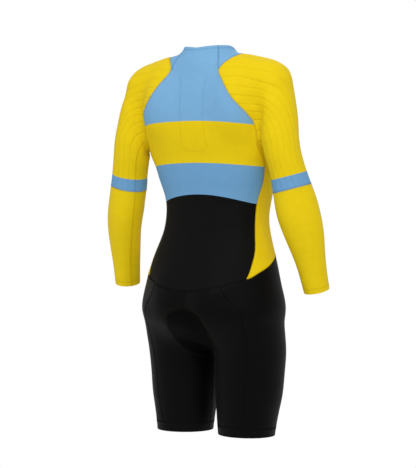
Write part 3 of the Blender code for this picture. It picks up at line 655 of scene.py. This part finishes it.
def zone_edges(tree):
    """How far below each printed edge a point lies: 0 above it, 1 below it."""
    split = tree.nodes.new("ShaderNodeSeparateXYZ")
    tree.links.new(object_place(tree), split.inputs[0])
    x, z = split.outputs["X"], split.outputs["Z"]
    squared = value_of(tree, "MULTIPLY", x, x)
    masks = []
    for middle, arch in BACK_ZONES:
        line = value_of(tree, "MULTIPLY_ADD", squared, -arch, middle)
        depth = value_of(tree, "SUBTRACT", line, z)
        masks.append(value_of(tree, "MULTIPLY_ADD", depth, PRINT_SHARPNESS, 0.5, clamp=True))
    return masks


def printed_zones(tree):
    """The printed colours from the neck down: blue, yellow, blue, black."""
    print_so_far = BLUE
    for mask, colour in zip(zone_edges(tree), (YELLOW, LOWER_BLUE, BLACK)):
        print_so_far = colour_mix(tree, mask, print_so_far, colour)
    return print_so_far


printed_cloth = cloth_material(
    "printed back cloth", BLUE, loop=0.0016, slant=1.0, zones=printed_zones, bump=0.35
)
sew_in("back_panel", printed_cloth, blue_lining)


# Fronts
# Two pieces of the same printed knit. They wrap over the shoulders to seams behind them,
# and each is sewn to one tape of the zip.

front_cloth = cloth_material(
    "printed front cloth", BLUE, loop=0.0016, slant=1.0, zones=printed_zones, bump=0.35
)
for node in ("front_left", "front_right"):
    sew_in(node, front_cloth, blue_lining)


# Side panels
# Plain yellow knit from the armpit to the top of the shorts, where each panel runs out to a
# point behind the hip. Flatlock seams join it to the back, front and sleeve.

side_cloth = cloth_material("yellow side cloth", YELLOW)
for node in ("side_panel_left", "side_panel_right"):
    sew_in(node, side_cloth, yellow_lining)


# Upper sleeves
# Yellow cloth knitted with raised ribs, which the thin grooves part; painted shade darkens the
# groove floors. A blue band is printed round the foot of each, square to the arm, down to the
# elbow seam.

BAND_HEIGHT = 0.030


def elbow_plane(node):
    """A point and the upward direction of the elbow seam's plane."""
    lower = CLOTH_PANELS.index(node.replace("upper", "lower"))
    upper = CLOTH_PANELS.index(node)
    ring = [
        edge for edge in whole.edges
        if {face[panel_mark] for face in edge.link_faces} == {lower, upper}
    ]
    points = np.array([vert.co for edge in ring for vert in edge.verts])
    middle = points.mean(axis=0)
    up = np.linalg.svd(points - middle)[2][2]
    return middle, up if up[2] > 0 else -up


def elbow_band(middle, up):
    """What prints an upper sleeve: yellow down to its blue band."""
    def zones(tree):
        above = tree.nodes.new("ShaderNodeVectorMath")
        above.operation = "DOT_PRODUCT"
        above.inputs[1].default_value = up
        tree.links.new(object_place(tree), above.inputs[0])
        top = float(middle @ up) + BAND_HEIGHT
        depth = value_of(tree, "SUBTRACT", top, above.outputs["Value"])
        mask = value_of(tree, "MULTIPLY_ADD", depth, PRINT_SHARPNESS, 0.5, clamp=True)
        return colour_mix(tree, mask, YELLOW, LOWER_BLUE)
    return zones


elbows = {}
for side in ("left", "right"):
    node = "sleeve_upper_" + side
    elbows[node] = elbow_plane(node)
    ribbed_cloth = cloth_material(
        "ribbed sleeve cloth " + side, YELLOW, zones=elbow_band(*elbows[node]), grooves=True
    )
    sew_in(node, ribbed_cloth, yellow_lining)


# Lower sleeves
# Fine plain yellow knit, wrapped round the forearm as one tube and sewn to the ribbed sleeve
# at the elbow. Its end is turned in for the cuff.

forearm_cloth = cloth_material("yellow forearm cloth", YELLOW, loop=0.0009, roughness=0.58)
for node in ("sleeve_lower_left", "sleeve_lower_right"):
    sew_in(node, forearm_cloth, yellow_lining)


# Shorts
# Black warp knit with a soft sheen: two backs, two sides, two fronts and the saddle panel,
# to which the pad is sewn.

shorts_cloth = cloth_material(
    "black shorts cloth", BLACK, loop=0.0010, roughness=0.52, sheen=0.02, bump=0.35, gloss=0.06
)
# The saddle cloth's black is a little darker than the shorts' black: painted shade in the
# hollow between the legs.
saddle_cloth = cloth_material(
    "black saddle cloth", (0.0012, 0.0012, 0.0013, 1), loop=0.0013, roughness=0.6, sheen=0.01,
    gloss=0.03
)
for side in ("left", "right"):
    sew_in("short_back_" + side, shorts_cloth, black_lining)
    sew_in("short_side_" + side, shorts_cloth, black_lining)
    sew_in("short_front_" + side, shorts_cloth, black_lining)
sew_in("saddle_panel", saddle_cloth, black_lining)


# Leg bands
# Black elastic gripper tape, one length round each leg, flatlocked to its end. A silicone
# print on the inside keeps it from riding up.

band_cloth = cloth_material(
    "black leg band", (0.0019, 0.0019, 0.0020, 1), loop=0.0018, roughness=0.5, sheen=0.02,
    bump=0.7, gloss=0.06
)
gripper = cloth_material("silicone gripper", (0.05, 0.05, 0.053, 1), loop=0.004, roughness=0.28,
                         sheen=0.0, bump=1.0)
for node in ("leg_band_left", "leg_band_right"):
    sew_in(node, band_cloth, gripper)


# Pad
# Moulded foam under a brushed knit cover, thick in the middle and thin at its edge. It is
# sewn to the inside of the saddle panel round its outline.

PAD_DEPTH = CLOTH + 0.0009
# The pad's grey, and the darker painted shade inside its breathing holes.
PAD_GREY, HOLE_PAINTED_SHADE = (0.24, 0.24, 0.26, 1), (0.10, 0.10, 0.11, 1)
HOLES_PER_METRE, HOLE_RELIEF = 260, 0.0006


def pad_piece():
    """The pad's rounded foam, kept inside the saddle panel's cloth."""
    bm = bmesh.new()
    bm.from_mesh(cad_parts["chamois_pad"].data)
    bmesh.ops.remove_doubles(bm, verts=bm.verts[:], dist=WELD)
    bmesh.ops.join_triangles(
        bm, faces=bm.faces[:], angle_face_threshold=math.radians(50),
        angle_shape_threshold=math.radians(60), topology_influence=GRID_LIKING,
    )
    plain = bpy.data.meshes.new("pad_plain")
    bm.to_mesh(plain)
    bm.free()
    mesh = rounded(plain, 2)
    mesh.name = "pad_foam"
    for vert in mesh.vertices:
        spot, normal, _, _ = surface.find_nearest(vert.co)
        depth = (spot - vert.co).dot(normal)
        if depth < PAD_DEPTH:
            vert.co -= normal * (PAD_DEPTH - depth)
    mesh.shade_smooth()
    return new_object("pad_foam", mesh)


def pad_cover():
    """Brushed knit over foam, with rows of small breathing holes pressed in, darker inside as
    painted shade.
    """
    material, tree, shader = new_material("pad cover")
    shader.inputs["Roughness"].default_value = 0.85
    shader.inputs["Sheen Weight"].default_value = 0.5
    holes = tree.nodes.new("ShaderNodeTexVoronoi")
    holes.inputs["Scale"].default_value = HOLES_PER_METRE
    holes.inputs["Randomness"].default_value = 0.15
    tree.links.new(object_place(tree), holes.inputs["Vector"])
    # The holes' darker grey is painted shade in their hollows.
    depth = value_of(tree, "MULTIPLY", holes.outputs["Distance"], 2.2, clamp=True)
    paint = colour_mix(tree, depth, HOLE_PAINTED_SHADE, PAD_GREY)
    tree.links.new(paint, shader.inputs["Base Color"])
    relief(tree, shader, depth, 0.5, HOLE_RELIEF)
    return material


pad = pad_piece()
pad.data.materials.append(pad_cover())
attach(pad, "suit")
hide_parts("chamois_pad")


# Zip
# A fine coil zip from the neck to the waist seam: two woven tapes whose coils meet in the
# middle, sewn between the fronts.

TOOTH_PITCH = 0.0016
TOOTH = (0.0030, 0.0009, 0.0008)
TOOTH_LIFT, TOOTH_SHIFT, TOOTH_LEAN = 0.0008, 0.0003, 0.18
COIL_FOOT, COIL_HEAD = 0.002, 0.004
COIL_GREY = (0.035, 0.036, 0.04, 1)
zip_tape = cloth_material(
    "zip tape", (0.016, 0.017, 0.019, 1), loop=0.0007, slant=0.35, roughness=0.7, bump=0.7
)
sew_in("zip", zip_tape, black_lining)


def stitch_block():
    """One stitch: a small block, tapered to both ends, one unit long, wide and high."""
    bm = bmesh.new()
    bmesh.ops.create_cube(bm, size=1)
    long_edges = [e for e in bm.edges if abs(e.verts[0].co.x - e.verts[1].co.x) > 0.5]
    bmesh.ops.subdivide_edges(bm, edges=long_edges, cuts=1)
    for vert in bm.verts:
        if abs(vert.co.x) > 0.25:
            vert.co.y *= 0.55
            vert.co.z *= 0.55
    bm.normal_update()
    points = np.array([vert.co for vert in bm.verts])
    faces = np.array([[vert.index for vert in face.verts] for face in bm.faces])
    bm.free()
    return points, faces


stitch_points, stitch_faces = stitch_block()


def stitched_piece(name, stitches, material):
    """Many stitches as one piece. Each has a middle, a direction, an up, a size and a tone."""
    count = len(stitches)
    middle = np.array([stitch[0] for stitch in stitches])
    along = np.array([stitch[1] for stitch in stitches])
    up = np.array([stitch[2] for stitch in stitches])
    size = np.array([stitch[3] for stitch in stitches])
    up = up - along * (up * along).sum(axis=1, keepdims=True)
    up /= np.maximum(np.linalg.norm(up, axis=1, keepdims=True), 1e-9)
    across = np.cross(up, along)
    each = len(stitch_points)
    points = (
        middle[:, None]
        + along[:, None] * (stitch_points[None, :, 0:1] * size[:, None, 0:1])
        + across[:, None] * (stitch_points[None, :, 1:2] * size[:, None, 1:2])
        + up[:, None] * (stitch_points[None, :, 2:3] * size[:, None, 2:3])
    ).reshape(-1, 3)
    faces = (stitch_faces[None] + each * np.arange(count)[:, None, None]).reshape(-1, 4)
    mesh = bpy.data.meshes.new(name)
    mesh.from_pydata(points.tolist(), [], faces.tolist())
    mesh.shade_smooth()
    tones = np.repeat(np.array([stitch[4] for stitch in stitches]), each, axis=0)
    layer = mesh.attributes.new("tone", "FLOAT_COLOR", "POINT")
    layer.data.foreach_set("color", tones.ravel())
    mesh.materials.append(material)
    piece = new_object(name, mesh)
    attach(piece, "suit")


def thread_material(name, roughness=0.6, gloss=0.08):
    """Twisted sewing thread, whose colour each stitch carries."""
    material, tree, shader = new_material(name)
    shader.inputs["Roughness"].default_value = roughness
    shader.inputs["Specular IOR Level"].default_value = gloss
    tone = tree.nodes.new("ShaderNodeAttribute")
    tone.attribute_name = "tone"
    fuzz = noise(tree, 1500, object_place(tree))
    shade = value_of(tree, "MULTIPLY_ADD", fuzz, 0.3, 0.85)
    paint = colour_mix(tree, 1, tone.outputs["Color"], shade, "MULTIPLY")
    tree.links.new(paint, shader.inputs["Base Color"])
    return material


def zip_coils():
    """The zip's coil loops, each lying across the middle of the tape in turn."""
    low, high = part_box("zip")
    start, stop = low[2] + COIL_FOOT, high[2] - COIL_HEAD
    stitches = []
    count = int((stop - start) / TOOTH_PITCH)
    for number in range(count):
        z = start + (number + 0.5) * TOOTH_PITCH
        place, normal, _, _ = surface.ray_cast(Vector((0, -0.4, z)), Vector((0, 1, 0)))
        if place is None:
            continue
        hand = 1 if number % 2 else -1
        along = Vector((1, 0, hand * TOOTH_LEAN)).normalized()
        middle = place + normal * TOOTH_LIFT + Vector((hand * TOOTH_SHIFT, 0, 0))
        stitches.append((middle, along, normal, TOOTH, COIL_GREY))
    return stitches


stitched_piece("zip_coil", zip_coils(), thread_material("zip coil nylon", 0.35, 0.5))


# Zip slider and pull
# Both are die-cast and painted black. The slider rides the coil and is closed at the neck,
# and the pull swings from the slider's arch.

WORN_EDGE, PULL_GREY = (0.30, 0.30, 0.31, 1), (0.045, 0.046, 0.05, 1)


def painted_metal(name, colour):
    """Painted metal, worn to a paler edge where it is handled."""
    material, tree, shader = new_material(name)
    shader.inputs["Metallic"].default_value = 0.85
    edge = tree.nodes.new("ShaderNodeNewGeometry")
    wear = value_of(tree, "MULTIPLY_ADD", edge.outputs["Pointiness"], 6.0, -3.1, clamp=True)
    paint = colour_mix(tree, wear, colour, WORN_EDGE)
    tree.links.new(paint, shader.inputs["Base Color"])
    speck = noise(tree, 900, object_place(tree))
    rough = value_of(tree, "MULTIPLY_ADD", speck, 0.2, 0.25)
    tree.links.new(rough, shader.inputs["Roughness"])
    return material


for node, colour in (("zip_slider", COIL_GREY), ("zip_pull", PULL_GREY)):
    finish = painted_metal(node.replace("_", " ") + " metal", colour)
    for held_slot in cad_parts[node].material_slots:
        held_slot.material = finish


# Seams
# The panels are joined edge to edge by flatlock seams: a row of thread on each side of the
# join and crossing threads between, sewn with thread near the cloth's own colour.

STITCH_PITCH = 0.0030
SEAM_HALF = 0.0020
ROW_STITCH = (0.0024, 0.0005, 0.0005)
CROSS_STITCH = (0.0038, 0.00035, 0.00030)
OLIVE = (0.030, 0.027, 0.012, 1)
BLACK_THREAD = (0.0032, 0.0032, 0.0034, 1)
ROW_LIFT, CROSS_LIFT = 0.00015, 0.00006
ROW_SHADE, CROSS_SHADE = 0.92, 0.84
EVENING = 3
thread = thread_material("sewing thread")


def evened(line):
    """A line whose small jags are evened out, with its ends or its closing kept."""
    points = np.array(line)
    closed = np.allclose(points[0], points[-1])
    for _ in range(EVENING):
        if closed:
            ring = points[:-1]
            ring = (np.roll(ring, 1, axis=0) + 2 * ring + np.roll(ring, -1, axis=0)) / 4
            points = np.vstack([ring, ring[:1]])
        elif len(points) > 2:
            points[1:-1] = (points[:-2] + 2 * points[1:-1] + points[2:]) / 4
    return [Vector(point) for point in points]


def walk(edges):
    """The ordered lines of points that a set of edges makes, broken where lines meet."""
    at = {}
    for edge in edges:
        for vert in edge.verts:
            at.setdefault(vert, []).append(edge)
    left, lines = set(edges), []
    starts = [vert for vert in at if len(at[vert]) != 2] + list(at)
    for start in starts:
        for first in at[start]:
            if first not in left:
                continue
            line, edge, vert = [start], first, start
            while edge in left:
                left.discard(edge)
                vert = edge.other_vert(vert)
                line.append(vert)
                if len(at[vert]) == 2:
                    edge = next((e for e in at[vert] if e is not edge), edge)
            lines.append(evened([vert.co.copy() for vert in line]))
    return lines


def stepped(line, pitch):
    """Points and directions at an even pitch along a line."""
    points = np.array(line)
    lengths = np.linalg.norm(np.diff(points, axis=0), axis=1)
    run = np.concatenate([[0], np.cumsum(lengths)])
    count = max(int(run[-1] / pitch), 1)
    at = (np.arange(count) + 0.5) * run[-1] / count
    place = np.stack([np.interp(at, run, points[:, axis]) for axis in range(3)], axis=1)
    reach = np.clip(at + pitch, 0, run[-1])
    ahead = np.stack([np.interp(reach, run, points[:, axis]) for axis in range(3)], axis=1)
    reach = np.clip(at - pitch, 0, run[-1])
    behind = np.stack([np.interp(reach, run, points[:, axis]) for axis in range(3)], axis=1)
    along = ahead - behind
    return place, along / np.maximum(np.linalg.norm(along, axis=1, keepdims=True), 1e-9)


def tone_at(node, place):
    """The cloth's colour at a place on a panel."""
    if node == "back_panel" or node.startswith("front"):
        tone = BLUE
        for (middle, arch), colour in zip(BACK_ZONES, (YELLOW, LOWER_BLUE, BLACK)):
            if place.z < middle - arch * place.x ** 2:
                tone = colour
        return tone
    if node.startswith("sleeve_upper"):
        middle, up = elbows[node]
        return LOWER_BLUE if (np.array(place) - middle) @ up < BAND_HEIGHT else YELLOW
    return YELLOW if node.startswith(("side_panel", "sleeve_lower")) else BLACK


def thread_tone(tone, share):
    """Thread a little lighter or darker than the cloth under it."""
    if tone is BLACK:
        return BLACK_THREAD
    return tuple(part * share for part in tone[:3]) + (1,)


def laid(place, lift):
    """A place moved onto the cloth's face and lifted from it: place, normal and panel."""
    spot, normal, index, _ = surface.find_nearest(place)
    return spot + normal * lift, normal, CLOTH_PANELS[whole.faces[index][panel_mark]]


def flatlock(line, olive):
    """Two rows and the crossing threads of one seam."""
    stitches = []
    for place, along in zip(*stepped(line, STITCH_PITCH)):
        place, along = Vector(place), Vector(along)
        _, up, _ = laid(place, 0)
        side = along.cross(up).normalized()
        for hand in (-1, 1):
            spot, normal, node = laid(place + side * (hand * SEAM_HALF), ROW_LIFT)
            tone = OLIVE if olive else thread_tone(tone_at(node, spot), ROW_SHADE)
            stitches.append((spot, along, normal, ROW_STITCH, tone))
        for lean in (-1, 1):
            spot, normal, _ = laid(place + along * (lean * STITCH_PITCH / 4), CROSS_LIFT)
            cross = (side * SEAM_HALF * 2 + along * (lean * STITCH_PITCH / 2)).normalized()
            _, _, node = laid(place + side * SEAM_HALF, 0)
            tone = thread_tone(tone_at(node, spot), CROSS_SHADE)
            stitches.append((spot, cross, normal, CROSS_STITCH, tone))
    return stitches


def seam_edges(test):
    """The form's sewn edges whose two panels pass a test."""
    chosen = []
    for edge in whole.edges:
        if not edge.smooth and len(edge.link_faces) == 2:
            nodes = {CLOTH_PANELS[face[panel_mark]] for face in edge.link_faces}
            if test(nodes):
                chosen.append(edge)
    return chosen


def of_shorts(nodes):
    """Whether all the panels are the shorts' own."""
    return all(node.startswith(("short", "leg_band", "saddle")) for node in nodes)


for name, slot_name, test, olive in (
    ("trunk_seams", "back_panel", lambda nodes: not of_shorts(nodes) and "zip" not in nodes
     and not all(node.startswith("sleeve") for node in nodes), False),
    ("sleeve_seams", "sleeve_upper_left",
     lambda nodes: all(node.startswith("sleeve") for node in nodes), False),
    ("shorts_seams", "short_back_left",
     lambda nodes: of_shorts(nodes) and "saddle_panel" not in nodes, False),
    ("saddle_seam", "saddle_panel", lambda nodes: "saddle_panel" in nodes, True),
):
    sewn = [stitch for line in walk(seam_edges(test)) for stitch in flatlock(line, olive)]
    stitched_piece(name, sewn, thread)


# Hems and zip topstitching
# Coverstitch holds the turned edges: two rows of plain stitches round the neck and cuffs,
# one at the foot of each leg band and one on each side of the zip.

HEM_STITCH = (0.0022, 0.00045, 0.00045)
HEM_SHADE, ZIP_ROW = 0.8, 0.003
NECK_FROM, CUFF_FROM = -0.10, -0.70
NECK_ROWS, CUFF_ROWS, LEG_ROWS = (0.006, 0.0085), (0.011, 0.0135), (0.004,)


def beside(line, inward, gap):
    """Rows of stitches at a gap from a line, on the side that a direction test picks."""
    stitches = []
    for place, along in zip(*stepped(line, STITCH_PITCH)):
        place, along = Vector(place), Vector(along)
        _, up, _ = laid(place, 0)
        side = along.cross(up).normalized()
        side *= 1 if side.dot(inward(place)) > 0 else -1
        spot, normal, node = laid(place + side * gap, ROW_LIFT)
        tone = thread_tone(tone_at(node, spot), HEM_SHADE)
        stitches.append((spot, along, normal, HEM_STITCH, tone))
    return stitches


def upward(place):
    """The way from a cuff or a leg's end into the cloth."""
    return Vector((0, 0, 1))


def from_neck(place):
    """The way from the neckline into the cloth."""
    return Vector((place.x, place.y, -0.05))


hems = []
for line in walk([edge for edge in whole.edges if edge.is_boundary]):
    height = (sum(line, Vector()) / len(line)).z
    if height > NECK_FROM:
        inward, gaps = from_neck, NECK_ROWS
    else:
        inward, gaps = upward, CUFF_ROWS if height > CUFF_FROM else LEG_ROWS
    for gap in gaps:
        hems += beside(line, inward, gap)
for line in walk(seam_edges(lambda nodes: "zip" in nodes)):
    hems += beside(line, lambda place: Vector((place.x, 0, 0)), ZIP_ROW)
stitched_piece("hem_stitching", hems, thread)


# Back pocket
# A flat pocket on the upper back for a small radio, seen only as a U of thin stitching, whose
# thread is darkened as painted shadow along the pocket's edge.

POCKET = [
    (-0.037, -0.040), (-0.034, -0.075), (-0.033, -0.130), (-0.034, -0.170), (-0.037, -0.205),
    (-0.030, -0.213), (0, -0.2155), (0.024, -0.213), (0.030, -0.205),
    (0.029, -0.170), (0.028, -0.130), (0.029, -0.075), (0.032, -0.040),
]
POCKET_STEPS, POCKET_THREAD_AND_PAINTED_SHADOW = 6, 0.66


def on_back(x, z):
    """The place on the back's cloth at a width and a height."""
    place, _, _, _ = surface.ray_cast(Vector((x, 0.5, z)), Vector((0, -1, 0)))
    return place


corners = [on_back(x, z) for x, z in POCKET]
outline = []
for first, second in zip(corners, corners[1:]):
    for step in range(POCKET_STEPS):
        spot = first.lerp(second, step / POCKET_STEPS)
        outline.append(on_back(spot.x, spot.z))
outline.append(corners[-1])
pocket = []
for place, along in zip(*stepped(outline, STITCH_PITCH)):
    spot, normal, node = laid(Vector(place), ROW_LIFT)
    # The thread is darkened well below the cloth's colour: real stitching, with painted shadow
    # along the pocket's edge.
    tone = thread_tone(tone_at(node, spot), POCKET_THREAD_AND_PAINTED_SHADOW)
    pocket.append((spot, Vector(along), normal, HEM_STITCH, tone))
stitched_piece("pocket_stitching", pocket, thread)


# Studio
# A pale floor well below the hanging suit and a white surround. A large soft light stands
# above the camera, a weaker one to its left, and one lights the front of the suit.

FLOOR_Z, FLOOR_RADIUS = -1.50, 2.4
FADE_FROM, FADE_TO = 1.9, 2.7
SURROUND_LIGHT = 0.62


def floor_material():
    """Pale matt floor that thins out to the white surround, and is clear from beneath."""
    material, tree, shader = new_material("pale floor")
    shader.inputs["Base Color"].default_value = (0.85, 0.85, 0.85, 1)
    shader.inputs["Roughness"].default_value = 0.9
    length = tree.nodes.new("ShaderNodeVectorMath")
    length.operation = "LENGTH"
    tree.links.new(object_place(tree), length.inputs[0])
    fade = tree.nodes.new("ShaderNodeMapRange")
    fade.interpolation_type = "SMOOTHSTEP"
    fade.inputs["From Min"].default_value = FADE_FROM
    fade.inputs["From Max"].default_value = FADE_TO
    fade.inputs["To Min"].default_value = 1
    fade.inputs["To Max"].default_value = 0
    tree.links.new(length.outputs["Value"], fade.inputs["Value"])
    under = tree.nodes.new("ShaderNodeNewGeometry").outputs["Backfacing"]
    shown = value_of(tree, "SUBTRACT", fade.outputs["Result"], under, clamp=True)
    tree.links.new(shown, shader.inputs["Alpha"])
    return material


floor_shape = bmesh.new()
bmesh.ops.create_circle(
    floor_shape, cap_ends=True, radius=FLOOR_RADIUS, segments=96,
    matrix=Matrix.Translation((0, 0, FLOOR_Z)),
)
floor_mesh = bpy.data.meshes.new("studio_floor")
floor_shape.to_mesh(floor_mesh)
floor_shape.free()
floor_mesh.materials.append(floor_material())
new_object("studio_floor", floor_mesh)

world = bpy.data.worlds.new("white surround")
world.use_nodes = True
bpy.context.scene.world = world
air = world.node_tree
air.nodes.clear()
seen, lit = air.nodes.new("ShaderNodeBackground"), air.nodes.new("ShaderNodeBackground")
seen.inputs["Color"].default_value = (1, 1, 1, 1)
seen.inputs["Strength"].default_value = 1.0
lit.inputs["Color"].default_value = (1, 1, 1, 1)
lit.inputs["Strength"].default_value = SURROUND_LIGHT
ray = air.nodes.new("ShaderNodeLightPath")
choose = air.nodes.new("ShaderNodeMixShader")
sky = air.nodes.new("ShaderNodeOutputWorld")
air.links.new(ray.outputs["Is Camera Ray"], choose.inputs[0])
air.links.new(lit.outputs[0], choose.inputs[1])
air.links.new(seen.outputs[0], choose.inputs[2])
air.links.new(choose.outputs[0], sky.inputs["Surface"])
bpy.context.scene.view_settings.view_transform = "Standard"


def aimed(thing, place, aim):
    """Stand a light or the camera at a place, looking at another."""
    thing.location = place
    thing.rotation_euler = (Vector(aim) - Vector(place)).to_track_quat("-Z", "Y").to_euler()


def soft_light(name, place, aim, size, power):
    """A round soft light, aimed at the suit."""
    light = bpy.data.lights.new(name, "AREA")
    light.shape, light.size, light.energy = "DISK", size, power
    aimed(new_object(name, light), place, aim)


soft_light("key", (-1.75, 2.5, 2.2), (0, 0, -0.3), 1.8, 75)
soft_light("fill", (2.4, 2.4, 0.4), (0, 0, -0.5), 2.4, 14)
soft_light("front", (1.2, -3.2, 1.2), (0, 0, -0.4), 2.4, 40)


# Camera
# A long lens a little above the waist, behind the suit and to the wearer's right, which
# takes in the whole suit.

CAMERA_PLACE, CAMERA_AIM = (-1.825, 3.161, -0.271), (0.0166, 0.0096, -0.412)
view = bpy.data.cameras.new("camera")
view.sensor_fit = "VERTICAL"
view.sensor_height, view.lens = 36.0, 117.0
camera = new_object("camera", view)
aimed(camera, CAMERA_PLACE, CAMERA_AIM)
bpy.context.scene.camera = camera
